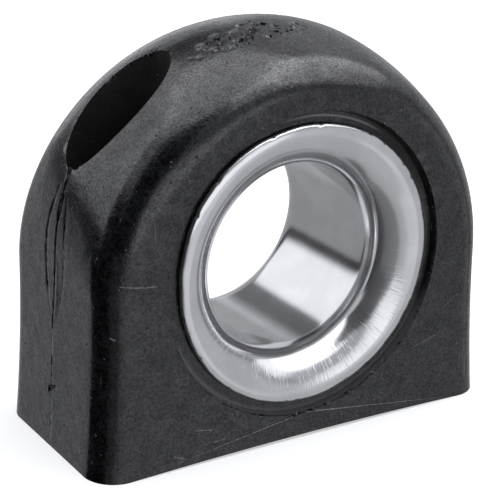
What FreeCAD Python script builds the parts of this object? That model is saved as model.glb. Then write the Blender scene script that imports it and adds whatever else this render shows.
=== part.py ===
import FreeCAD, Part
import math
import os

# Upright rope fairlead eye: a moulded plastic block with an arched top, screwed down through
# two vertical holes, and a one-piece metal liner flared over both faces of its eye.
# Frame: the origin is the centre of the base, X runs along the width, Y along the depth and
# the eye, and Z is up. All sizes are in millimetres, and angles in degrees.

Vector = FreeCAD.Vector

# Body block
BASE_WIDTH = 47.0          # width where the block meets the deck
WAIST_WIDTH = 45.3         # width at the spring of the arch
BODY_DEPTH = 22.0          # from front face to back face
CREST_HEIGHT = 41.8        # top of the arch at mid depth
FACE_DROP = 3.5            # how much lower the arch is at the faces than at the crest
CREST_SPRING = 21.0        # height at which the arch starts, at mid depth
FACE_SPRING = 15.6         # the same at the faces
ARCH_FULLNESS = 0.527      # handles of the arch's curves, as a share of its sides: 0.552 is an ellipse
CROWN_POWER = 1.8          # how the crown falls away from mid depth to the faces
UPRIGHT_ROUNDING = 3.35    # radius of the upright edges
ARCH_ROUNDING = 1.9        # how far the same rounding lowers the top of the arch

# Eye and its liner
EYE_HEIGHT = 18.7          # axis of the eye above the base
EYE_RADIUS = 9.7           # bore that the rope runs through
LINER_WALL = 0.6           # thickness of the sheet
FLANGE_RADIUS = 14.65      # outermost edge of the rolled lip
BEND_RADIUS = 3.7          # bend from the tube to the flare
BEND_ANGLE = 40.0          # slope against the axis where the bend ends and the flare starts
FLARE_ANGLE = 68.0         # slope against the axis where the flare ends and the lip rolls over
ROLL_RADIUS = 1.7          # of the rolled lip
ROLL_ANGLE = 118.0         # slope against the axis at the edge of the sheet
LIP_INSET = 0.1            # crest of the rolled lip below the face of the block
SEAT_CLEARANCE = 0.05      # between the liner and the plastic that it is pressed into

# Recess round the lip
RECESS_MARGIN = 1.05       # floor left free round the lip
RECESS_DRAFT = 15.0        # slope of its wall

# Screw holes
SCREW_SPACING = 30.8       # between the two screws
SCREW_HOLE_RADIUS = 2.75   # clearance hole for a 5 mm screw
HEAD_POCKET_LENGTH = 10.6  # oval pocket that hides the head, along the width of the block
HEAD_POCKET_WIDTH = 8.7    # the same, along its depth
HEAD_SEAT_HEIGHT = 26.2    # floor of the pocket above the base
HOLE_CHAMFER = 0.4         # at the base

# Resolution of the drawn curves
CROWN_STEPS = 5            # spans of the loft from mid depth to the rounding
ROUND_STEPS = 5            # spans of the loft over the rounding
OVERCUT = 1.0              # how far cutting tools stand out of the block


def between(at_crest, at_face, share):
    """A size of the outline at a share of the way from mid depth to a face."""
    return at_crest + (at_face - at_crest) * share ** CROWN_POWER


def bezier(poles):
    """An edge along the curve that these control points draw."""
    curve = Part.BezierCurve()
    curve.setPoles(poles)
    return curve.toShape()


def arch_curve(side, half_width, spring, top):
    """One half of the arch: it leaves the spring upright and meets the crest level."""
    start = Vector(side * half_width, 0, spring)
    steep = Vector(side * half_width, 0, spring + (top - spring) * ARCH_FULLNESS)
    level = Vector(side * half_width * ARCH_FULLNESS, 0, top)
    crest = Vector(0, 0, top)
    return bezier([start, steep, level, crest])


def side_curve(side, half_width, spring):
    """The side up to the spring: it leans in from the foot and ends upright."""
    flare = (BASE_WIDTH - WAIST_WIDTH) / 2
    foot_width = half_width + flare * (1 + OVERCUT / spring) ** 2
    foot = Vector(side * foot_width, 0, -OVERCUT)
    middle = Vector(side * half_width, 0, (spring - OVERCUT) / 2)
    end = Vector(side * half_width, 0, spring)
    return bezier([foot, middle, end])


def outline(depth, rounding):
    """Closed outline at a distance in front of mid depth, drawn in by the edge's rounding."""
    share = depth / (BODY_DEPTH / 2)
    half_width = WAIST_WIDTH / 2 - UPRIGHT_ROUNDING * rounding
    spring = between(CREST_SPRING, FACE_SPRING, share)
    top = between(CREST_HEIGHT, CREST_HEIGHT - FACE_DROP, share) - ARCH_ROUNDING * rounding
    sides = [side_curve(side, half_width, spring) for side in (-1, 1)]
    arches = [arch_curve(side, half_width, spring, top) for side in (-1, 1)]
    base = Part.makeLine(sides[0].Vertexes[0].Point, sides[1].Vertexes[0].Point)
    wire = Part.Wire([base, sides[1], arches[1], arches[0], sides[0]])
    wire.translate(Vector(0, -depth, 0))
    return wire


def crowned_stretch():
    """The front half of the block from mid depth to where the edges start to round."""
    length = BODY_DEPTH / 2 - UPRIGHT_ROUNDING
    sections = [outline(length * step / CROWN_STEPS, 0) for step in range(CROWN_STEPS + 1)]
    return Part.makeLoft(sections, True, False)


def rounded_stretch():
    """The rest up to the front face, with the arch and the upright edges rounded over."""
    start = BODY_DEPTH / 2 - UPRIGHT_ROUNDING
    sections = []
    for step in range(ROUND_STEPS + 1):
        angle = math.pi / 2 * step / ROUND_STEPS
        depth = start + UPRIGHT_ROUNDING * math.sin(angle)
        sections.append(outline(depth, 1 - math.cos(angle)))
    return Part.makeLoft(sections, True, False)


def make_block():
    """The solid block: the front half, its mirror image, and a flat base."""
    front = crowned_stretch().fuse(rounded_stretch())
    back = front.mirror(Vector(0, 0, 0), Vector(0, 1, 0))
    below = Part.makeBox(2 * BASE_WIDTH, 2 * BODY_DEPTH, 2 * OVERCUT)
    below.translate(Vector(-BASE_WIDTH, -BODY_DEPTH, -2 * OVERCUT))
    return front.fuse(back).cut(below)


def lip_layout():
    """Centres of the arcs that flare the liner, as (radius, depth) pairs, and the flare's radius."""
    bend = math.radians(BEND_ANGLE)
    flare = math.radians(FLARE_ANGLE)
    middle_radius = ROLL_RADIUS - LINER_WALL / 2
    edge_reach = LINER_WALL / 2 - middle_radius * math.cos(math.radians(ROLL_ANGLE))
    roll_centre = (FLANGE_RADIUS - edge_reach, BODY_DEPTH / 2 - LIP_INSET - ROLL_RADIUS)
    bend_end_radius = EYE_RADIUS + BEND_RADIUS * (1 - math.cos(bend))
    flare_end_radius = roll_centre[0] - ROLL_RADIUS * math.cos(flare)
    flare_end_depth = roll_centre[1] + ROLL_RADIUS * math.sin(flare)
    flare_radius = (flare_end_radius - bend_end_radius) / (math.cos(bend) - math.cos(flare))
    flare_centre = (
        flare_end_radius + flare_radius * math.cos(flare),
        flare_end_depth - flare_radius * math.sin(flare),
    )
    bend_centre = (
        EYE_RADIUS + BEND_RADIUS,
        flare_centre[1] + (flare_radius - BEND_RADIUS) * math.sin(bend),
    )
    return bend_centre, flare_centre, flare_radius, roll_centre


def arc_point(centre, radius, angle, side):
    """A point of the eye's section, mirrored to the front face where side is -1."""
    turn = math.radians(angle)
    from_axis = centre[0] - radius * math.cos(turn)
    depth = centre[1] + radius * math.sin(turn)
    return Vector(from_axis, side * depth, EYE_HEIGHT)


def arc(centre, radius, start, end, side):
    """An arc of the eye's section between two slopes."""
    first = arc_point(centre, radius, start, side)
    middle = arc_point(centre, radius, (start + end) / 2, side)
    last = arc_point(centre, radius, end, side)
    return Part.Arc(first, middle, last).toShape()


def flared_edges(offset, side):
    """Bend and flare of one end, set back from the rope's surface by offset."""
    bend_centre, flare_centre, flare_radius = lip_layout()[:3]
    bend = arc(bend_centre, BEND_RADIUS - offset, 0, BEND_ANGLE, side)
    flare = arc(flare_centre, flare_radius - offset, BEND_ANGLE, FLARE_ANGLE, side)
    return [bend, flare]


def rolled_edge(offset, side):
    """The roll of the lip, set back from the rope's surface by offset."""
    return arc(lip_layout()[3], ROLL_RADIUS - offset, FLARE_ANGLE, ROLL_ANGLE, side)


def tube_edge(offset):
    """The straight stretch between the two bends."""
    bend_centre = lip_layout()[0]
    front = arc_point(bend_centre, BEND_RADIUS - offset, 0, -1)
    back = arc_point(bend_centre, BEND_RADIUS - offset, 0, 1)
    return Part.makeLine(front, back)


def lip_end(side):
    """The round outer edge of the lip."""
    roll_centre = lip_layout()[3]
    turn = math.radians(ROLL_ANGLE)
    rope_side = arc_point(roll_centre, ROLL_RADIUS, ROLL_ANGLE, side)
    seat_side = arc_point(roll_centre, ROLL_RADIUS - LINER_WALL, ROLL_ANGLE, side)
    outward = Vector(math.sin(turn), side * math.cos(turn), 0) * (LINER_WALL / 2)
    tip = (rope_side + seat_side) * 0.5 + outward
    return Part.Arc(rope_side, tip, seat_side).toShape()


def turned(edges):
    """A closed section turned once round the eye's axis."""
    face = Part.Face(Part.Wire(Part.sortEdges(edges)[0]))
    return face.revolve(Vector(0, 0, EYE_HEIGHT), Vector(0, 1, 0), 360)


def make_liner():
    """The tube with a flared and rolled lip at each end, from sheet of one thickness."""
    edges = [tube_edge(0), tube_edge(LINER_WALL)]
    for side in (-1, 1):
        for offset in (0, LINER_WALL):
            edges += flared_edges(offset, side)
            edges.append(rolled_edge(offset, side))
        edges.append(lip_end(side))
    return turned(edges)


def liner_seat():
    """What the tube and the flares take out of the block: their outside with a clearance."""
    offset = LINER_WALL + SEAT_CLEARANCE
    flare_centre, flare_radius = lip_layout()[1:3]
    edges = [tube_edge(offset)]
    outside = BODY_DEPTH / 2 + OVERCUT
    corners = []
    for side in (-1, 1):
        edges += flared_edges(offset, side)
        mouth = arc_point(flare_centre, flare_radius - offset, FLARE_ANGLE, side)
        rim = Vector(mouth.x, side * outside, EYE_HEIGHT)
        axis = Vector(0, side * outside, EYE_HEIGHT)
        edges.append(Part.makeLine(mouth, rim))
        edges.append(Part.makeLine(rim, axis))
        corners.append(axis)
    edges.append(Part.makeLine(corners[0], corners[1]))
    return turned(edges)


def recess_floor():
    """How far from mid depth the floor of the recess lies: just clear of the lip's edge."""
    middle_radius = ROLL_RADIUS - LINER_WALL / 2
    edge_depth = lip_layout()[3][1] + middle_radius * math.sin(math.radians(ROLL_ANGLE))
    return edge_depth - LINER_WALL / 2 - SEAT_CLEARANCE


def lip_recess(side):
    """The shallow drafted recess that keeps the lip below the face."""
    floor_radius = FLANGE_RADIUS + RECESS_MARGIN
    slope = math.tan(math.radians(RECESS_DRAFT))
    height = BODY_DEPTH / 2 - recess_floor() + OVERCUT
    floor = Vector(0, side * recess_floor(), EYE_HEIGHT)
    top_radius = floor_radius + height * slope
    return Part.makeCone(floor_radius, top_radius, height, floor, Vector(0, side, 0))


def screw_hole(side):
    """A clearance hole from the base, with a pocket for the head above it."""
    x = side * SCREW_SPACING / 2
    up = Vector(0, 0, 1)
    hole_height = HEAD_SEAT_HEIGHT + 2 * OVERCUT
    hole = Part.makeCylinder(SCREW_HOLE_RADIUS, hole_height, Vector(x, 0, -OVERCUT), up)
    seat = Vector(x, 0, HEAD_SEAT_HEIGHT)
    oval = Part.Ellipse(seat, HEAD_POCKET_LENGTH / 2, HEAD_POCKET_WIDTH / 2)
    pocket_height = CREST_HEIGHT + OVERCUT - HEAD_SEAT_HEIGHT
    pocket = Part.Face(Part.Wire(oval.toShape())).extrude(up * pocket_height)
    mouth_radius = SCREW_HOLE_RADIUS + HOLE_CHAMFER
    chamfer = Part.makeCone(mouth_radius, SCREW_HOLE_RADIUS, HOLE_CHAMFER, Vector(x, 0, 0), up)
    return hole.fuse([pocket, chamfer])


def make_body():
    """The moulded block with its eye, recesses and screw holes."""
    tools = [liner_seat(), lip_recess(-1), lip_recess(1), screw_hole(-1), screw_hole(1)]
    return make_block().cut(tools)


def export(shape, name):
    """Write one sub-part, as one solid."""
    solid = shape.Solids[0] if len(shape.Solids) == 1 else shape
    solid.exportStep("parts/" + name + ".step")
    print(name, "solids", len(shape.Solids), "valid", shape.isValid(), "volume", round(shape.Volume, 1))


os.makedirs("parts", exist_ok=True)
export(make_body(), "body")
export(make_liner(), "liner")
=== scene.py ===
# %% [markdown]
# A rope fairlead eye. It stands on the deck of a sailing boat and turns a rope through a
# polished metal ring, which is pressed into a block of black moulded plastic. The imported model
# already has the right shapes and sizes, so this lesson gives them the look of the real thing:
# the seam that the mould left, the nicked edges, the grain of the plastic and the polish of
# the metal. It starts by loading the model.
# Sizes here are in millimetres, with z up from the deck, and MM turns them into metres.

# %% Load the model
import math
import bmesh
import bpy
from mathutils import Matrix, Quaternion, Vector, noise


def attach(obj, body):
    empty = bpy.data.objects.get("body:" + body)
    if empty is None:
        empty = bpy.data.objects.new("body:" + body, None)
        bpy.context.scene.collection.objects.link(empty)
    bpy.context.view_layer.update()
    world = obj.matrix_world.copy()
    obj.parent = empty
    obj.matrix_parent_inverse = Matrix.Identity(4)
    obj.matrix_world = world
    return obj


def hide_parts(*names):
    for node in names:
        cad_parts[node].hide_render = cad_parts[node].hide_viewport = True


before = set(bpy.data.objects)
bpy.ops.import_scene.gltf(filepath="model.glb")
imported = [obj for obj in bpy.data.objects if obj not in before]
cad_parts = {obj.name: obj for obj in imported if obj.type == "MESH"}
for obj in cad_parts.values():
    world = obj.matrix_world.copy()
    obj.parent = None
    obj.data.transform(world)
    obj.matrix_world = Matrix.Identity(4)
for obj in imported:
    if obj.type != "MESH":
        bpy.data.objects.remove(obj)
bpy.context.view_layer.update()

MM = 0.001
block_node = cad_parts["body"]
liner_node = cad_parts["liner"]

# %% [markdown]
# The camera comes first, because everything else is judged through it. The eye is seen from
# its left front and a little from above, through a long lens. The aim is a point on the
# middle plane of the block, and a small shift puts the block where it lies in the picture.

# %% Camera
AIM = Vector((0, 0, 20.3))
AZIMUTH = -31.927
ELEVATION = 19.042
ROLL = 0.991
DISTANCE = 172.5
PICTURE_SIZE = 496
FOCAL_PIXELS = 1653.4
AIM_PIXEL = (251.34, 219.80)
SENSOR_WIDTH = 36.0
NEAREST = 0.01
FARTHEST = 20.0


def bearing(azimuth, elevation):
    """The direction that lies at an azimuth, counted from the front, and an elevation."""
    a = math.radians(azimuth)
    e = math.radians(elevation)
    return Vector((math.sin(a) * math.cos(e), -math.cos(a) * math.cos(e), math.sin(e)))


def make_camera():
    """A camera at the picture's place, with its roll and its framing."""
    data = bpy.data.cameras.new("picture_camera")
    made = bpy.data.objects.new("picture_camera", data)
    bpy.context.scene.collection.objects.link(made)
    back = bearing(AZIMUTH, ELEVATION)
    made.location = (AIM + back * DISTANCE) * MM
    level = (-back).to_track_quat("-Z", "Y")
    made.rotation_mode = "QUATERNION"
    made.rotation_quaternion = Quaternion(back, math.radians(ROLL)) @ level
    data.sensor_width = SENSOR_WIDTH
    data.lens = FOCAL_PIXELS / PICTURE_SIZE * SENSOR_WIDTH
    data.shift_x = (PICTURE_SIZE / 2 - AIM_PIXEL[0]) / PICTURE_SIZE
    data.shift_y = (AIM_PIXEL[1] - PICTURE_SIZE / 2) / PICTURE_SIZE
    data.clip_start = NEAREST
    data.clip_end = FARTHEST
    bpy.context.scene.camera = made
    return made


camera = make_camera()
print("lens in mm:", round(camera.data.lens, 1), "at", [round(x, 4) for x in camera.location])

# %% [markdown]
# Finishes are built from patterns, and a pattern is a number that changes from place to place.
# Written as nodes, the simplest sum takes three of them. So a small class wraps a socket, and
# ordinary arithmetic on it adds the nodes. One more method makes any other node.

# %% Arithmetic on patterns
class Pattern:
    """A number that changes over a surface, held as a socket of a node tree."""

    def __init__(self, recipe, socket):
        self.recipe = recipe
        self.socket = socket

    def work(self, operation, first, second):
        return self.recipe.node("ShaderNodeMath", {"operation": operation}, {0: first, 1: second})

    def __add__(self, other):
        return self.work("ADD", self, other)

    def __radd__(self, other):
        return self.work("ADD", other, self)

    def __sub__(self, other):
        return self.work("SUBTRACT", self, other)

    def __rsub__(self, other):
        return self.work("SUBTRACT", other, self)

    def __mul__(self, other):
        return self.work("MULTIPLY", self, other)

    def __rmul__(self, other):
        return self.work("MULTIPLY", other, self)

    def __abs__(self):
        return self.work("ABSOLUTE", self, 0.0)

    def root(self):
        return self.work("SQRT", self, 0.0)

    def part(self, index):
        """One of the outputs of the node that this socket is on."""
        return Pattern(self.recipe, self.socket.node.outputs[index])


# %% Nodes of a finish
class Recipe:
    """The node tree of one finish."""

    def __init__(self, tree):
        self.tree = tree

    def node(self, kind, settings=None, inputs=None, output=0):
        """A node: its settings are set first, then the values or links of its sockets."""
        made = self.tree.nodes.new(kind)
        for name, value in (settings or {}).items():
            setattr(made, name, value)
        for key, value in (inputs or {}).items():
            if isinstance(value, Pattern):
                self.tree.links.new(value.socket, made.inputs[key])
            else:
                made.inputs[key].default_value = value
        return Pattern(self, made.outputs[output])

    def feed(self, shader, **patterns):
        """Link patterns to a shader's sockets, named with low lines for spaces."""
        for name, pattern in patterns.items():
            self.tree.links.new(pattern.socket, shader.inputs[name.replace("_", " ")])

    def place(self):
        """Where a point of the surface is, in millimetres."""
        metres = self.node("ShaderNodeTexCoord", output="Object")
        inputs = {0: metres, "Scale": 1 / MM}
        return self.node("ShaderNodeVectorMath", {"operation": "SCALE"}, inputs)

    def grain(self, place, size, detail=2.0, stretch=(1, 1, 1), roughness=0.5):
        """Soft random grain, from 0 to 1, of a size in millimetres."""
        inputs = {0: place, 1: stretch}
        scaled = self.node("ShaderNodeVectorMath", {"operation": "MULTIPLY"}, inputs)
        inputs = {"Vector": scaled, "Scale": 1 / size, "Detail": detail, "Roughness": roughness}
        return self.node("ShaderNodeTexNoise", None, inputs)

    def dots(self, place, scale, full, end):
        """Round dots, so many to a millimetre: 1 out to full, and softly down to 0 at end."""
        inputs = {"Vector": place, "Scale": scale}
        near = self.node("ShaderNodeTexVoronoi", None, inputs, "Distance")
        return self.step(near, full, end, 1.0, 0.0)

    def step(self, value, start, end, low=0.0, high=1.0):
        """A soft step from low to high, as value goes from start to end."""
        inputs = {"Value": value, "From Min": start, "From Max": end}
        inputs.update({"To Min": low, "To Max": high})
        return self.node("ShaderNodeMapRange", {"interpolation_type": "SMOOTHSTEP"}, inputs)

    def window(self, value, start, full, fade, end):
        """1 from full to fade, and softly down to 0 at start and at end."""
        return self.step(value, start, full) * self.step(value, fade, end, 1.0, 0.0)

    def blend(self, share, first, second):
        """From the first colour to the second by a share."""
        inputs = {0: share, 6: first, 7: second}
        return self.node("ShaderNodeMix", {"data_type": "RGBA"}, inputs, 2)

    def relief(self, height):
        """The normals of a surface with a height in millimetres."""
        inputs = {"Height": height, "Distance": MM, "Strength": 1.0}
        return self.node("ShaderNodeBump", None, inputs)


print("patterns ready")

# %% [markdown]
# The studio. Black plastic and bright metal show little of their own colour: what is seen on
# them is mostly a reflection. So the surroundings are drawn with care, as soft glowing panels
# on a black sky. Each panel fills a stretch of bearings, counted from the front, and a stretch
# of heights above the horizon, both in degrees. Then come the width of its soft border and its
# brightness. The dark stretch on the left gives the block its dark edge.

# %% Light panels
PANELS = [
    ("ceiling", (-360, 360), (59, 120), 9, 2.1),
    ("key", (32, 104), (40, 72), 12, 2.5),
    ("high window", (-4, 40), (44, 66), 4, 1.5),
    ("side window", (46, 104), (24, 42), 6, 1.4),
    ("front window", (-29, 27), (-2, 25), 6, 0.78),
    ("dim gap", (-22, 46), (22, 48), 8, 0.38),
    ("front glow", (-18, 32), (-40, -2), 12, 0.22),
    ("left behind", (-177, -108), (10, 64), 8, 1.3),
    ("left high", (-122, -72), (30, 62), 14, 0.8),
    ("behind", (150, 400), (0, 60), 10, 0.12),
    ("behind low", (150, 400), (-2, 27), 7, 0.28),
    ("behind high", (150, 400), (47, 62), 6, 0.28),
    ("low front", (-33, 84), (-76, 20), 10, 0.54),
    ("low left", (-62, -34), (-78, 2), 14, 0.18),
    ("right behind", (90, 156), (-60, 58), 14, 0.42),
    ("right high", (88, 140), (28, 58), 10, 0.3),
    ("floor behind", (156, 400), (-60, 2), 5, 0.46),
    ("floor left behind", (-400, -136), (-60, 0), 5, 0.38),
]
TINT = (0.975, 0.99, 1.035)


def draw_surroundings():
    """A black sky with soft panels on it, in a faintly cool white."""
    world = bpy.data.worlds.new("studio")
    world.use_nodes = True
    recipe = Recipe(world.node_tree)
    direction = recipe.node("ShaderNodeTexCoord", output="Generated")
    right = recipe.node("ShaderNodeSeparateXYZ", None, {0: direction})
    forward = right.part(1) * -1.0
    bearing_at = right.work("ARCTAN2", right, forward) * math.degrees(1)
    height_at = right.work("ARCSINE", right.part(2), 0.0) * math.degrees(1)
    light = 0.0
    for _, bearings, heights, border, level in PANELS:
        panel = level
        half = border / 2
        for at, (start, end) in ((bearing_at, bearings), (height_at, heights)):
            panel = recipe.window(at, start - half, start + half, end - half, end + half) * panel
        light = panel + light
    shares = {index: light * share for index, share in enumerate(TINT)}
    tinted = recipe.node("ShaderNodeCombineColor", None, shares)
    recipe.feed(world.node_tree.nodes["Background"], Color=tinted)
    bpy.context.scene.world = world


draw_surroundings()
bpy.context.scene.view_settings.view_transform = "Standard"
print(len(PANELS), "panels of light")

# %% [markdown]
# The floor and the backdrop are plain and pale. The camera sees them, and so does the soft
# light that falls from the floor on the block. They are kept out of the sharp reflections,
# where the panels of light should show.

# %% Floor and backdrop
FLOOR_SIZE = 6.0
DOME_RADIUS = 2.9
FLOOR_GREY = 0.6
FLOOR_GLOW = 0.5
DOME_GLOW = 0.95


def plain(name, grey, glow):
    """A plain matt finish that may also glow a little."""
    paint = bpy.data.materials.new(name)
    paint.use_nodes = True
    shader = paint.node_tree.nodes["Principled BSDF"]
    shader.inputs["Base Color"].default_value = (grey, grey, grey, 1)
    shader.inputs["Roughness"].default_value = 1.0
    shader.inputs["Specular IOR Level"].default_value = 0.0
    shader.inputs["Emission Color"].default_value = (1, 1, 1, 1)
    shader.inputs["Emission Strength"].default_value = glow
    return paint


def make_stage():
    """A wide pale floor, and a pale dome over it."""
    bpy.ops.object.select_all(action="DESELECT")
    bpy.ops.mesh.primitive_plane_add(size=FLOOR_SIZE, location=(0, 0, 0))
    floor = bpy.context.object
    floor.name = "studio_floor"
    floor.data.materials.append(plain("pale_floor", FLOOR_GREY, FLOOR_GLOW))
    bpy.ops.object.select_all(action="DESELECT")
    bpy.ops.mesh.primitive_uv_sphere_add(radius=DOME_RADIUS, segments=48, ring_count=24)
    dome = bpy.context.object
    dome.name = "studio_backdrop"
    dome.data.materials.append(plain("pale_backdrop", 0.0, DOME_GLOW))
    dome.visible_diffuse = False
    for piece in (floor, dome):
        piece.visible_glossy = False
        piece.visible_shadow = False


make_stage()
print("floor and backdrop ready")

# %% [markdown]
# The moulded block. Its shape is right already, but the real one is not as clean as a drawing.
# It came out of a mould in two halves, and where they met there is a seam up both sides, with
# flow lines like long lenses beside it. These could be bump in the finish, but the seam is
# deep enough to catch light on its walls. So a copy of the block is merged into one skin, cut
# into a fine grid along the seam, and pushed in and out there.

# %% Editing by hand, in code
def start_editing(piece, kind="VERT"):
    """Work on one piece alone, on its vertices, edges or faces, with nothing selected."""
    bpy.ops.object.select_all(action="DESELECT")
    bpy.context.view_layer.objects.active = piece
    piece.select_set(True)
    bpy.ops.object.mode_set(mode="EDIT")
    bpy.ops.mesh.select_mode(type=kind)
    bpy.ops.mesh.select_all(action="DESELECT")


def stop_editing():
    bpy.ops.object.mode_set(mode="OBJECT")


def edge_middle(edge):
    """The point half way along an edge, in millimetres."""
    return (edge.verts[0].co + edge.verts[1].co) / 2 / MM


def select_where(piece, kind, test):
    """Select the edges or faces of the piece being edited whose middle passes a test."""
    mesh = bmesh.from_edit_mesh(piece.data)
    found = 0
    for item in getattr(mesh, kind):
        middle = edge_middle(item) if kind == "edges" else item.calc_center_median() / MM
        if not item.hide and test(middle, item):
            item.select_set(True)
            found += 1
    mesh.select_flush_mode()
    bmesh.update_edit_mesh(piece.data, loop_triangles=False, destructive=False)
    return found


def leave_in_sight(piece, test):
    """Hide all faces of the piece being edited but those that pass a test."""
    bpy.ops.mesh.reveal(select=False)
    bpy.ops.mesh.select_all(action="DESELECT")
    select_where(piece, "faces", test)
    bpy.ops.mesh.hide(unselected=True)


def cut(place, direction):
    """Cut everything in sight along a plane."""
    bpy.ops.mesh.select_all(action="SELECT")
    bpy.ops.mesh.bisect(plane_co=Vector(place) * MM, plane_no=direction)


# %% A copy of the block
MERGE = 0.002

block = block_node.copy()
block.data = block_node.data.copy()
block.name = "moulded_block"
bpy.context.scene.collection.objects.link(block)
start_editing(block)
bpy.ops.mesh.select_all(action="SELECT")
bpy.ops.mesh.remove_doubles(threshold=MERGE * MM)
bpy.ops.mesh.customdata_custom_splitnormals_clear()
stop_editing()
print("block:", len(block.data.vertices), "points", len(block.data.polygons), "faces")

# %% [markdown]
# The grid along the seam is cut with straight knives, as a baker scores dough. Only the strip
# beside the seam is left in sight while cutting, so the rest of the block keeps its few faces.
# The columns are narrow at the seam, where its groove is sharp, and wider away from it.

# %% A fine grid along the seam
SEAM_HALF = 3.2
SEAM_ROWS = 0.42
SEAM_TOP = 33.0
COLUMN_WIDTHS = [(0.5, 0.075), (2.2, 0.13), (SEAM_HALF, 0.3)]
SIDE_FROM = 20.0
SIDE_HALF = 8.0
SIDEWAYS = 0.35


def on_the_side(middle, face):
    """True for the faces of the block's outside near the seam, left and right."""
    outside = abs(face.normal.x) > SIDEWAYS and middle.x * face.normal.x > 0
    return outside and abs(middle.x) > SIDE_FROM and abs(middle.y) < SIDE_HALF


def in_the_strip(middle, face):
    """True for those of them that lie in the strip that gets the grid."""
    return on_the_side(middle, face) and abs(middle.y) < SEAM_HALF


def column_width(out):
    """The width of the column that starts at a distance from the middle."""
    return next(width for limit, width in COLUMN_WIDTHS if out < limit)


start_editing(block, "FACE")
leave_in_sight(block, on_the_side)
for side in (-1, 1):
    cut((0, side * SEAM_HALF, 0), (0, 1, 0))
leave_in_sight(block, in_the_strip)
columns = [0.0]
while columns[-1] + column_width(columns[-1]) < SEAM_HALF:
    columns.append(columns[-1] + column_width(columns[-1]))
for column in columns:
    for y in {column, -column}:
        cut((0, y, 0), (0, 1, 0))
for row in range(1, int(SEAM_TOP / SEAM_ROWS)):
    cut((0, 0, row * SEAM_ROWS), (0, 0, 1))
bpy.ops.mesh.reveal(select=False)
stop_editing()
print("after the grid:", len(block.data.polygons), "faces,", len(columns) * 2 - 1, "columns")

# %% [markdown]
# How far each point moves is written as a few grooves added together: the seam itself, the
# flow lines that leave it and come back, and a short crack low on the side. Each groove has a
# depth, a width, the two heights between which it swells and fades away, and how far it bows
# out from the seam. The amounts become the weights of a vertex group, and a Displace modifier
# pushes along the normals.

# %% The seam's line and grooves
SEAM_PATH = [
    (-1.0, 0.0), (6.3, 0.25), (12.3, 0.35), (17.3, -0.15), (21.8, -0.55), (26.2, -0.6),
    (30.6, 0.1), (34.0, 0.1),
]
GROOVES = [
    (0.60, 0.20, 24.0, 29.6, 0.0),
    (0.42, 0.10, 11.6, 32.8, 0.0),
    (0.08, 0.10, 0.6, 13.0, 0.0),
    (0.11, 0.20, 14.0, 28.3, 2.1),
    (0.06, 0.20, 13.2, 27.5, -1.9),
    (-0.06, 0.30, 13.0, 21.0, -0.6),
]
WANDER = 0.06
SHARPEN = 1.6


def bell(distance, width):
    """1 at no distance, and next to nothing from two widths on."""
    return math.exp(-((distance / width) ** 2))


def held(value):
    """A number held between 0 and 1."""
    return max(0.0, min(1.0, value))


def swell(height, low, high):
    """From 0 at both heights to 1 half way between them."""
    if not low < height < high:
        return 0.0
    return math.sin(math.pi * (height - low) / (high - low))


def seam_middle(height, side):
    """Where the seam runs at a height: it wanders a little to the front and the back."""
    for (start, low), (end, high) in zip(SEAM_PATH, SEAM_PATH[1:]):
        if start <= height <= end:
            straight = low + (high - low) * (height - start) / (end - start)
            return straight + WANDER * noise.noise(Vector((side * 9.0, 0.0, height * 0.9)))
    return 0.0


def groove_depth(place, seam, side, groove):
    """How deep one groove is at a point, with ragged walls."""
    depth, width, low, high, bow = groove
    bulge = swell(place.z, low, high)
    line = seam + bow * math.sqrt(bulge)
    chance = noise.noise(Vector((bow * 7 + side * 3, place.z * 1.7, depth * 50)))
    ragged = 0.75 + 0.6 * chance
    return depth * ragged * min(1.0, SHARPEN * bulge) * bell(place.y - line, width)


# %% Push the seam in
CRACK_AT = (0.3, 6.45)
CRACK_SLOPE = 0.48
CRACK_HALF = (0.9, 0.26)
CRACK_DEPTH = 0.42
STEP_HEIGHT = 0.05
STEP_FADE = 1.6
BORDER_FADE = 0.5
PUSH_REACH = 0.5


def crack_depth(place, side):
    """How deep the short crack across the seam is at a point."""
    from_line = place.z - (CRACK_AT[1] - CRACK_SLOPE * place.y)
    crack = bell(from_line, CRACK_HALF[1]) * bell(place.y - CRACK_AT[0], CRACK_HALF[0])
    chance = noise.noise(Vector((place.y * 3, place.z * 3, side)))
    return CRACK_DEPTH * crack * (0.7 + chance)


def seam_relief(place):
    """How far a point beside the seam moves out. The mould's halves meet with a small step."""
    side = 1 if place.x > 0 else -1
    seam = seam_middle(place.z, side)
    out = -sum(groove_depth(place, seam, side, groove) for groove in GROOVES)
    out -= crack_depth(place, side)
    if place.y < seam:
        out += STEP_HEIGHT * bell(place.y - seam, STEP_FADE)
    from_border = min(SEAM_HALF - abs(place.y), place.z)
    return out * held(from_border / BORDER_FADE)


def push_by_weights(piece, name, amounts):
    """Move points along their normals by amounts in millimetres, with Displace modifiers."""
    bpy.ops.object.select_all(action="DESELECT")
    bpy.context.view_layer.objects.active = piece
    for sign, way in ((-1, "in"), (1, "out")):
        group = piece.vertex_groups.new(name=name + "_" + way)
        for index, amount in amounts.items():
            if sign * amount > 0:
                group.add([index], min(1.0, sign * amount / PUSH_REACH), "REPLACE")
        push = piece.modifiers.new(group.name, "DISPLACE")
        push.vertex_group = group.name
        push.mid_level = 0.0
        push.strength = sign * PUSH_REACH * MM
        bpy.ops.object.modifier_apply(modifier=push.name)


amounts = {}
for vertex in block.data.vertices:
    place = vertex.co / MM
    beside_seam = abs(place.y) < SEAM_HALF and abs(place.x) > SIDE_FROM and place.z > 0.01
    if beside_seam and vertex.normal.x * place.x > 0:
        amounts[vertex.index] = seam_relief(place)
push_by_weights(block, "seam", amounts)
deepest = min(PUSH_REACH, -min(amounts.values()))
print(len(amounts), "points pushed, deepest", round(deepest, 2), "mm")

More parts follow.
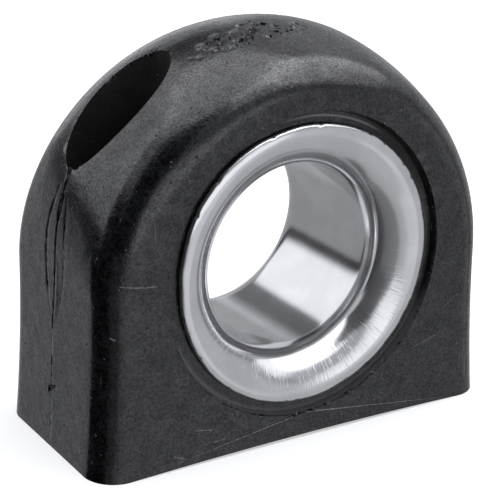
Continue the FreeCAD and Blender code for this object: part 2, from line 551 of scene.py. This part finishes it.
# %% [markdown]
# The crest. Just in front of the seam the top of the arch is pitted, where the melt met itself
# and was not quite hot enough to close. The patch gets a fine grid of its own. Its border is
# cut first, through the large faces that reach into it, and then the inside.

# %% A fine grid on the crest
PITTED = (-9.6, 5.0)
PITTED_DEPTH = (-5.6, -1.0)
PIT_GRID = 0.24
CREST_LOW = 36.0
FACES_LOW = 34.0
FACING_UP = 0.3


def on_the_crest(middle, face=None):
    """True on top of the arch beside the pits."""
    beside = PITTED[0] < middle.x < PITTED[1] and PITTED_DEPTH[0] < middle.y < PITTED_DEPTH[1]
    return beside and middle.z > CREST_LOW


def near_the_crest(middle, face):
    """True for the large faces that the patch is cut from."""
    corners = [corner.co / MM for corner in face.verts]
    low = [min(corner[axis] for corner in corners) for axis in (0, 1)]
    high = [max(corner[axis] for corner in corners) for axis in (0, 1)]
    wide = low[0] < PITTED[1] and high[0] > PITTED[0]
    deep = low[1] < PITTED_DEPTH[1] and high[1] > PITTED_DEPTH[0]
    return wide and deep and middle.z > FACES_LOW and face.normal.z > FACING_UP


start_editing(block, "FACE")
leave_in_sight(block, near_the_crest)
for x in PITTED:
    cut((x, 0, 0), (1, 0, 0))
for y in PITTED_DEPTH:
    cut((0, y, 0), (0, 1, 0))
leave_in_sight(block, on_the_crest)
for index in range(1, int((PITTED[1] - PITTED[0]) / PIT_GRID)):
    cut((PITTED[0] + index * PIT_GRID, 0, 0), (1, 0, 0))
for index in range(1, int((PITTED_DEPTH[1] - PITTED_DEPTH[0]) / PIT_GRID)):
    cut((0, PITTED_DEPTH[0] + index * PIT_GRID, 0), (0, 1, 0))
bpy.ops.mesh.reveal(select=False)
stop_editing()
print("with the crest's grid:", len(block.data.polygons), "faces")

# %% [markdown]
# The pits are pushed in where noise is high. The noise is drawn out along the arch, because
# the melt flowed that way, and it fades towards a ragged border of the patch.

# %% Pits on the crest
PIT_DEPTH = 0.3
PIT_SIZE = (0.9, 0.5)
PIT_LEAN = 0.1
PIT_FROM = 0.12
PIT_RISE = 0.3
PATCH_FADE = 2.2


def from_middle(value, span):
    """0 in the middle of a span, and -1 and 1 at its ends."""
    return (2 * value - span[0] - span[1]) / (span[1] - span[0])


def crest_pit(place):
    """How far a point of the crest is pushed in."""
    out = from_middle(place.x, PITTED) ** 2 + from_middle(place.y, PITTED_DEPTH) ** 2
    border = 1.0 + 0.5 * noise.noise(Vector((place.x * 0.35, place.y * 0.5, 8.0)))
    across = place.x / PIT_SIZE[0]
    drawn = Vector((across, (place.y + place.x * PIT_LEAN) / PIT_SIZE[1], 3.0))
    chance = noise.noise(drawn) + 0.5 * noise.noise(drawn * 2.3)
    return -PIT_DEPTH * held(PATCH_FADE * (border - out)) * held((chance - PIT_FROM) / PIT_RISE)


amounts = {}
for vertex in block.data.vertices:
    place = vertex.co / MM
    if on_the_crest(place) and vertex.normal.z > FACING_UP:
        amounts[vertex.index] = crest_pit(place)
push_by_weights(block, "crest", amounts)
print(len(amounts), "points on the crest, deepest pit", round(-min(amounts.values()), 2), "mm")

# %% [markdown]
# Edges. A knife-sharp edge is the surest sign of a drawing. On the real block the rims of the
# screw pockets and of the ring's recess are thin plastic, and they are nicked and frayed. So
# their edges are divided finely first, to have points that can move.

# %% Divide the rims
EYE_HEIGHT = 18.7
FLANGE_EDGE = 14.65
RECESS_MARGIN = 1.295
RECESS_RIM = FLANGE_EDGE + RECESS_MARGIN
FACE_DEPTH = 11.0
POCKET_AT = 15.4
POCKET_LONG = 5.3
POCKET_WIDE = 4.35
POCKET_REACH = 5.4
POCKET_LOW = 29.0
UPRIGHT = 0.02
SLOPING = 0.2


def on_recess_rim(middle, item=None):
    """True near the sharp rim of the recess, front and back."""
    radius = math.hypot(middle.x, middle.z - EYE_HEIGHT)
    return abs(middle.y) > FACE_DEPTH - 0.02 and abs(radius - RECESS_RIM) < 0.06


def on_pocket_rim(middle, edge):
    """True for the edges where a pocket's upright wall meets the sloping outside."""
    beside = abs(abs(middle.x) - POCKET_AT) <= POCKET_REACH
    if not beside or middle.z < POCKET_LOW or len(edge.link_faces) != 2:
        return False
    slopes = sorted(abs(face.normal.z) for face in edge.link_faces)
    return slopes[0] < UPRIGHT and slopes[1] > SLOPING


start_editing(block, "EDGE")
rims = 0
for test, cuts in ((on_recess_rim, 3), (on_pocket_rim, 2)):
    rims += select_where(block, "edges", test)
    bpy.ops.mesh.subdivide(number_cuts=cuts)
    bpy.ops.mesh.select_all(action="DESELECT")
stop_editing()
print(rims, "edges divided")

# %% [markdown]
# Then some of the new points are pushed in by chance, each by a noise of the size of a nick.
# The pockets are nicked from the middle of the block to its back, and only worn in front.

# %% Nicks by chance
NICK_RISE = 0.12
RECESS_NICKS = (0.7, 0.42, 0.14)
RECESS_WEAR = 0.03
POCKET_NICKS = (0.5, 0.45, 0.16)
POCKET_WEAR = 0.02
NICKED_FROM = -1.5


def nick(place, size, share, depth):
    """A dent of up to a depth at a share of the places, from noise of a size."""
    chance = noise.noise(place / size) * 0.5 + 0.5 + 0.25 * noise.noise(place / size * 2.7)
    return -depth * held((chance - (1 - share)) / NICK_RISE)


def pocket_rim_points(piece):
    """The points on the rims of the pockets, by index."""
    found = set()
    mesh = bmesh.new()
    mesh.from_mesh(piece.data)
    for edge in mesh.edges:
        if on_pocket_rim(edge_middle(edge), edge):
            found.update(vertex.index for vertex in edge.verts)
    mesh.free()
    return found


amounts = {}
for vertex in block.data.vertices:
    place = vertex.co / MM
    if on_recess_rim(place):
        amounts[vertex.index] = nick(place, *RECESS_NICKS) - RECESS_WEAR
for index in pocket_rim_points(block):
    place = block.data.vertices[index].co / MM
    ragged = nick(place, *POCKET_NICKS) if place.y > NICKED_FROM else 0.0
    amounts[index] = ragged - POCKET_WEAR
push_by_weights(block, "rim", amounts)
print(len(amounts), "rim points, deepest nick", round(-min(amounts.values()), 2), "mm")

# %% [markdown]
# The base. A thick moulding shrinks as it cools, and its flat faces sink a little in the middle.
# The bottom edges of the front and the back are hollow by about a third of a millimetre. They
# are cut into short lengths first, because a straight edge has no points between its ends.

# %% Hollow base
HOLLOW = 0.36
HOLLOW_HALF = 20.5
HOLLOW_STEP = 1.5
ASIDE = 0.01
ON_THE_DECK = 0.02


def reaches_the_deck(middle, face):
    """True for the faces with a corner on the deck."""
    return min(corner.co.z for corner in face.verts) < 0.01 * MM


start_editing(block, "FACE")
leave_in_sight(block, reaches_the_deck)
count = int(HOLLOW_HALF / HOLLOW_STEP)
for index in range(-count, count + 1):
    cut((index * HOLLOW_STEP + ASIDE, 0, 0), (1, 0, 0))
bpy.ops.mesh.reveal(select=False)
stop_editing()
raised = 0
for vertex in block.data.vertices:
    place = vertex.co / MM
    share = 1 - (place.x / HOLLOW_HALF) ** 2
    if place.z < ON_THE_DECK and share > 0:
        vertex.co.z += HOLLOW * share * MM
        raised += 1
print(raised, "points of the base raised")

# %% [markdown]
# The knives have left faces with many corners. They are divided into triangles, so that every
# tool reads the same shape, and edges flatter than an angle are shaded as if they were round.
# Then the block takes the place of the model's plain one.

# %% Finish the block
SPECK = 0.001
BLOCK_ROUND = 32

start_editing(block)
bpy.ops.mesh.select_all(action="SELECT")
bpy.ops.mesh.quads_convert_to_tris()
bpy.ops.mesh.remove_doubles(threshold=SPECK * MM)
stop_editing()
bpy.ops.object.select_all(action="DESELECT")
block.select_set(True)
bpy.ops.object.shade_smooth_by_angle(angle=math.radians(BLOCK_ROUND))
block.vertex_groups.clear()
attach(block, "root")
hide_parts("body")
print("block finished:", len(block.data.polygons), "triangles")

# %% [markdown]
# The ring. It is one piece of stainless sheet: a short tube, flared over a former at both ends
# and rolled back at the lip, so that no sharp edge meets the rope. Its closed section is drawn
# once for the front and mirrored for the back. It is made of three arcs that run into each
# other. Each has a centre, as distance from the axis and depth, a radius, and its two slopes.

# %% Section of the ring
SHEET = 0.6
ARCS = [
    ((13.4, 6.591), 3.7, 0, 40),
    ((15.433, 4.885), 6.354, 40, 68),
    ((13.693, 9.2), 1.7, 68, 118),
]
ARC_STEPS = 12
TUBE_ROWS = 3
LIP_STEPS = 6


def along(centre, radius, slope):
    """A point of the section on an arc, as distance from the axis and depth."""
    turn = math.radians(slope)
    return centre[0] - radius * math.cos(turn), centre[1] + radius * math.sin(turn)


def half_section():
    """The front half of the section: out along the rope's side, round the lip, and back."""
    (bend_out, bend_depth), bend_radius = ARCS[0][:2]
    bore = bend_out - bend_radius
    depths = [bend_depth * (row + 0.5) / TUBE_ROWS for row in range(TUBE_ROWS)]
    rope_side = [(bore, depth) for depth in depths]
    seat_side = [(bore + SHEET, depth) for depth in depths]
    for centre, radius, start, end in ARCS:
        for index in range(ARC_STEPS):
            slope = start + (end - start) * index / ARC_STEPS
            rope_side.append(along(centre, radius, slope))
            seat_side.append(along(centre, radius - SHEET, slope))
    centre, radius, start, end = ARCS[-1]
    middle = along(centre, radius - SHEET / 2, end)
    turns = [180 * index / LIP_STEPS for index in range(LIP_STEPS + 1)]
    edge = [along(middle, SHEET / 2, end + turn) for turn in turns]
    return rope_side + edge + seat_side[::-1]


def ring_section():
    """The whole section, as points in the plane of the axis."""
    front = half_section()
    points = [(r, -depth) for r, depth in front]
    points += [(r, depth) for r, depth in front[::-1]]
    return [Vector((r, y, EYE_HEIGHT)) * MM for r, y in points]


section = ring_section()
print("section of the ring:", len(section), "points")

# %% [markdown]
# A spin turns the section once round the axis of the eye, as a lathe or a potter's wheel would.
# It starts from a circle with as many points, which are moved onto the section. The last row
# falls on the first, so the two are merged.

# %% Spin the section
SPIN_STEPS = 360

bpy.ops.object.select_all(action="DESELECT")
bpy.ops.mesh.primitive_circle_add(vertices=len(section), location=(0, 0, 0))
ring = bpy.context.object
ring.name = "flared_ring"
for vertex, point in zip(ring.data.vertices, section):
    vertex.co = point
start_editing(ring)
bpy.ops.mesh.select_all(action="SELECT")
axis_point = (0, 0, EYE_HEIGHT * MM)
bpy.ops.mesh.spin(steps=SPIN_STEPS, angle=math.tau, center=axis_point, axis=(0, 1, 0))
bpy.ops.mesh.select_all(action="SELECT")
bpy.ops.mesh.remove_doubles(threshold=MERGE * MM)
bpy.ops.mesh.normals_make_consistent(inside=False)
stop_editing()
print("ring:", len(ring.data.polygons), "faces")

# %% [markdown]
# The real lip was trimmed after pressing: it is not quite round, and small bites are missing
# from its edge. A short list says how far it stands out at a few turns round the axis, and the
# points between follow in soft curves. The bites come from the same nicks as on the plastic.

# %% A lip that is not quite round
LIP_SHAPE = [
    (-180, -0.26), (-150, -0.26), (-130, -0.14), (-105, -0.03), (-80, 0.03), (30, 0.03),
    (50, -0.04), (75, -0.12), (100, -0.12), (125, 0.02), (152, 0.02), (170, -0.2), (180, -0.26),
]
LIP_FROM = 13.0
EDGE_FROM = 14.15
EDGE_FADE = 0.3
LIP_BITES = (0.5, 0.3, 0.11)
LIP_WAVE = 0.05


def lip_shift(turn):
    """How far the lip stands out at a turn round the axis, counted from the right."""
    for (start, low), (end, high) in zip(LIP_SHAPE, LIP_SHAPE[1:]):
        if start <= turn <= end:
            share = (turn - start) / (end - start)
            share = share * share * (3 - 2 * share)
            return low + (high - low) * share
    return 0.0


moved = 0
for vertex in ring.data.vertices:
    place = vertex.co / MM
    upward = place.z - EYE_HEIGHT
    radius = math.hypot(place.x, upward)
    if radius > LIP_FROM:
        turn = math.degrees(math.atan2(upward, place.x))
        share = min(1.0, (radius - LIP_FROM) / (FLANGE_EDGE - LIP_FROM))
        shift = lip_shift(turn) * share * share
        if radius > EDGE_FROM:
            where = Vector((place.x, place.y * 0.2, upward))
            ragged = min(1.0, (radius - EDGE_FROM) / EDGE_FADE)
            shift += ragged * (nick(where, *LIP_BITES) + LIP_WAVE * noise.noise(where / 1.7))
        vertex.co.x += place.x / radius * shift * MM
        vertex.co.z += upward / radius * shift * MM
        moved += 1
print(moved, "points of the lip moved")

# %% [markdown]
# The ring is shaded as round up to a wider angle than the block, because its sheet has no
# sharp edge. It takes the place of the model's plain liner.

# %% Finish the ring
RING_ROUND = 50

bpy.ops.object.select_all(action="DESELECT")
ring.select_set(True)
bpy.context.view_layer.objects.active = ring
bpy.ops.object.shade_smooth_by_angle(angle=math.radians(RING_ROUND))
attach(ring, "root")
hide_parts("liner")
print("ring finished, in mm:", [round(x / MM, 1) for x in ring.dimensions])

# %% [markdown]
# The plastic. It is nearly black, with a fine moulded grain, and it has been handled: the
# skin is mottled, with tiny pits, pale specks and a few long scratches. Each of these is a
# pattern of its own size, and they go into the colour, the roughness and a fine relief. The
# few scratches that can be told apart on the front are drawn one by one, from point to point.

# %% Marks on the faces
FACE_MARKS = [
    ((17.0, 10.6), (19.3, 12.2), 0.07),
    ((13.2, 7.0), (17.2, 8.1), 0.06),
    ((-12.9, 3.8), (-10.9, 3.4), 0.12),
    ((-10.9, 2.0), (-9.4, 2.1), 0.09),
    ((-15.4, 1.6), (-13.6, 0.8), 0.12),
    ((-20.9, 20.3), (-17.0, 19.8), 0.12),
    ((-21.8, 15.2), (-21.2, 14.9), 0.16),
]
MARK_END = 0.2


def face_mark(recipe, across, upward, start, end, width):
    """A soft line on a face from one point to another, as across and upward."""
    run = (end[0] - start[0], end[1] - start[1])
    length = math.hypot(*run)
    unit = (run[0] / length, run[1] / length)
    along_line = (across - start[0]) * unit[0] + (upward - start[1]) * unit[1]
    beside = (across - start[0]) * -unit[1] + (upward - start[1]) * unit[0]
    near = recipe.window(beside, -width, 0.0, 0.0, width)
    return near * recipe.window(along_line, 0.0, MARK_END, length - MARK_END, length)


print(len(FACE_MARKS), "marks")

# %% [markdown]
# The recess round the ring is blunter than the faces, most of all at its upper right. A pale
# band painted along its lower wall is a painted highlight, where the wall faces up into the light,
# and a short pale line painted at its upper right is a painted highlight too. Both are bands
# at a distance from the axis of the eye.

# %% Moulded plastic
BLACKEST = (0.0008, 0.0008, 0.001, 1)
BLACK = (0.0062, 0.0066, 0.0074, 1)
# The grey of worn specks, scratches and marks, and also of the painted highlights in the recess.
WORN_AND_HIGHLIGHT = (0.09, 0.09, 0.095, 1)
PLASTIC_SHINE = 0.42
PLASTIC_COAT = 0.11
RECESS_WALL = (10.98, 10.9)


def recess_patterns(recipe, across, depth, from_eye):
    """The blunt floor of the recess, and its painted highlights: a band on the lower wall and a
    line at the upper right.
    """
    radius = (across * across + from_eye * from_eye).root()
    inside = recipe.step(radius, RECESS_RIM + 0.02, RECESS_RIM - 0.08)
    inside = inside * recipe.step(abs(depth), *RECESS_WALL)
    floor = inside * recipe.step(from_eye, 4.0, 10.0, 0.1, 1.0)
    floor = floor * recipe.step(across, 3.0, 10.0, 0.1, 1.0)
    # Painted highlight: a pale band along the lower wall of the recess, where it faces up into the
    # light.
    painted_lower_highlight = inside * recipe.step(radius, 15.2, 15.7) * recipe.step(from_eye, -4.0, -9.0) * 0.6
    # Painted highlight: a short pale line near the rim at the upper right, where the floor catches
    # the light.
    upper_right_zone = inside * recipe.window(radius, 15.08, 15.2, 15.3, 15.42)
    upper_right_zone = upper_right_zone * recipe.step(from_eye, 12.0, 14.0) * recipe.step(across, -4.0, 1.0)
    return floor, painted_lower_highlight + upper_right_zone


def plastic_finish():
    """Black moulded plastic with grain, mottling, pits, specks and scratches."""
    finish = bpy.data.materials.new("black_moulding")
    finish.use_nodes = True
    recipe = Recipe(finish.node_tree)
    place = recipe.place()
    across = recipe.node("ShaderNodeSeparateXYZ", None, {0: place})
    depth = across.part(1)
    upward = across.part(2)
    mottle = recipe.grain(place, 1.5, 4.0, roughness=0.62)
    fine = recipe.grain(place, 0.27, 3.0, roughness=0.6)
    grip = recipe.grain(place, 0.16, 2.0)
    clouds = recipe.grain(place, 7.0, 2.0)
    crest = recipe.window(across, -9.5, -7.0, -1.0, 3.0)
    crest = crest * recipe.window(depth, -5.2, -3.6, -2.4, -1.2) * recipe.step(upward, 38.0, 39.5)
    inward = (abs(across) - POCKET_AT) * (1 / POCKET_LONG)
    sideways = depth * (1 / POCKET_WIDE)
    pocket = recipe.step(inward * inward + sideways * sideways, 0.99, 1.03, 1.0, 0.0)
    pits = recipe.dots(place, 0.9, 0.06, 0.2) * recipe.step(mottle, 0.5, 0.6)
    specks = recipe.dots(place, 0.8, 0.04, 0.09)
    blots = recipe.step(recipe.grain(place, 0.8, 3.0, (0.6, 1.3, 1.0)), 0.5, 0.6) * crest
    streaks = recipe.grain(place, 0.5, 1.0, (1.6, 1.0, 0.05))
    scratches = recipe.step(streaks, 0.735, 0.76) * recipe.step(clouds, 0.5, 0.58)
    marks = 0.0
    for start, end, width in FACE_MARKS:
        marks = face_mark(recipe, across, upward, start, end, width) + marks
    marks = marks * recipe.step(depth, -9.0, -9.8) * recipe.step(fine, 0.3, 0.5)
    floor, pale = recess_patterns(recipe, across, depth, upward - EYE_HEIGHT)
    colour = recipe.blend(recipe.step(mottle * 0.5 + fine * 0.8, 0.5, 0.82), BLACKEST, BLACK)
    # Specks, scratches and marks are real wear; pale adds the painted highlights of the recess.
    colour = recipe.blend(specks * 0.7 + scratches * 0.6 + marks + pale, colour, WORN_AND_HIGHLIGHT)
    polish = recipe.step(grip * 0.6 + fine * 0.35 + mottle * 0.25, 0.44, 0.76)
    polish = polish - pits - blots - pocket - floor
    rough = 0.11 + mottle * 0.1 + fine * 0.08 + floor * 0.4 + scratches * 0.15
    rough = rough + pits * 0.2 + blots * 0.3 + pocket * 0.6
    height = mottle * 0.075 + fine * 0.03 - pits * 0.04 - blots * 0.06
    height = height + specks * 0.02 + clouds * 0.12 + marks * 0.05
    shader = finish.node_tree.nodes["Principled BSDF"]
    shader.inputs["Specular IOR Level"].default_value = PLASTIC_SHINE
    shader.inputs["Coat Roughness"].default_value = PLASTIC_COAT
    recipe.feed(shader, Base_Color=colour, Roughness=rough, Coat_Weight=polish)
    recipe.feed(shader, Normal=recipe.relief(height))
    return finish


def wear(piece, finish):
    """Give a piece one finish all over."""
    piece.data.materials.clear()
    piece.data.materials.append(finish)


plastic = plastic_finish()
wear(block_node, plastic)
wear(block, plastic)
print("plastic:", len(plastic.node_tree.nodes), "nodes")

# %% [markdown]
# The metal. Polished stainless steel mirrors the studio, but never perfectly: under the polish
# lies a haze of very fine scratches that spreads part of the light. So two shaders are mixed,
# a sharp mirror and a hazy one. The rope has also left scratches across the lip, which run
# outwards like spokes, so their pattern is drawn round the axis of the eye.

# %% Polished steel
BRIGHT = (0.72, 0.72, 0.73, 1)
DULL = (0.66, 0.66, 0.67, 1)
HAZE_ROUGHNESS = 0.48
SPOKES = 60.0


def steel_finish():
    """Polished stainless steel: a mirror and a haze, with scratches like spokes."""
    finish = bpy.data.materials.new("polished_steel")
    finish.use_nodes = True
    recipe = Recipe(finish.node_tree)
    place = recipe.place()
    across = recipe.node("ShaderNodeSeparateXYZ", None, {0: place})
    depth = across.part(1)
    upward = across.part(2) - EYE_HEIGHT
    radius = (across * across + upward * upward).root()
    turn = across.work("ARCTAN2", upward, across)
    round_the_axis = {0: turn * SPOKES, 1: radius * 0.45, 2: depth * 0.3}
    spokes = recipe.grain(recipe.node("ShaderNodeCombineXYZ", None, round_the_axis), 1.0, 3.0)
    smears = recipe.grain(place, 4.0, 2.0)
    fine = recipe.grain(place, 0.2, 2.0)
    crossed = recipe.window(radius, 10.7, 11.3, 13.0, 13.9)
    crossed = crossed * recipe.step(upward, -6.0, 2.0, 1.0, 0.12) * recipe.step(across, -13.0, -8.0)
    scratches = recipe.step(spokes, 0.58, 0.66) * crossed
    in_tube = recipe.step(radius, 9.75, 10.1, 1.0, 0.0)
    rough = 0.06 + smears * 0.04 + fine * 0.05 + fine * in_tube * 0.07 + scratches * 0.25
    colour = recipe.blend(recipe.step(smears, 0.35, 0.65), DULL, BRIGHT)
    relief = recipe.relief(spokes * crossed * 0.02 + smears * 0.01 + fine * 0.0012)
    mirror = finish.node_tree.nodes["Principled BSDF"]
    haze = finish.node_tree.nodes.new("ShaderNodeBsdfPrincipled")
    for shader in (mirror, haze):
        shader.inputs["Metallic"].default_value = 1.0
        recipe.feed(shader, Base_Color=colour, Normal=relief)
    recipe.feed(mirror, Roughness=rough)
    haze.inputs["Roughness"].default_value = HAZE_ROUGHNESS
    # The inner upper right of the flange is rubbed, so it is hazier.
    upper_right_zone = recipe.step(upward + across * 0.6, -4.0, 3.0)
    upper_right_zone = upper_right_zone * recipe.step(radius, 11.4, 12.8, 1.0, 0.2)
    outside_tube = recipe.step(radius, 9.9, 10.5)
    share = 0.1 + smears * 0.08 + outside_tube * (0.08 + upper_right_zone * 0.3) + scratches * 0.42
    mixed = finish.node_tree.nodes.new("ShaderNodeMixShader")
    links = finish.node_tree.links
    links.new(share.socket, mixed.inputs[0])
    links.new(mirror.outputs[0], mixed.inputs[1])
    links.new(haze.outputs[0], mixed.inputs[2])
    links.new(mixed.outputs[0], finish.node_tree.nodes["Material Output"].inputs["Surface"])
    return finish


steel = steel_finish()
wear(liner_node, steel)
wear(ring, steel)
print("steel:", len(steel.node_tree.nodes), "nodes")
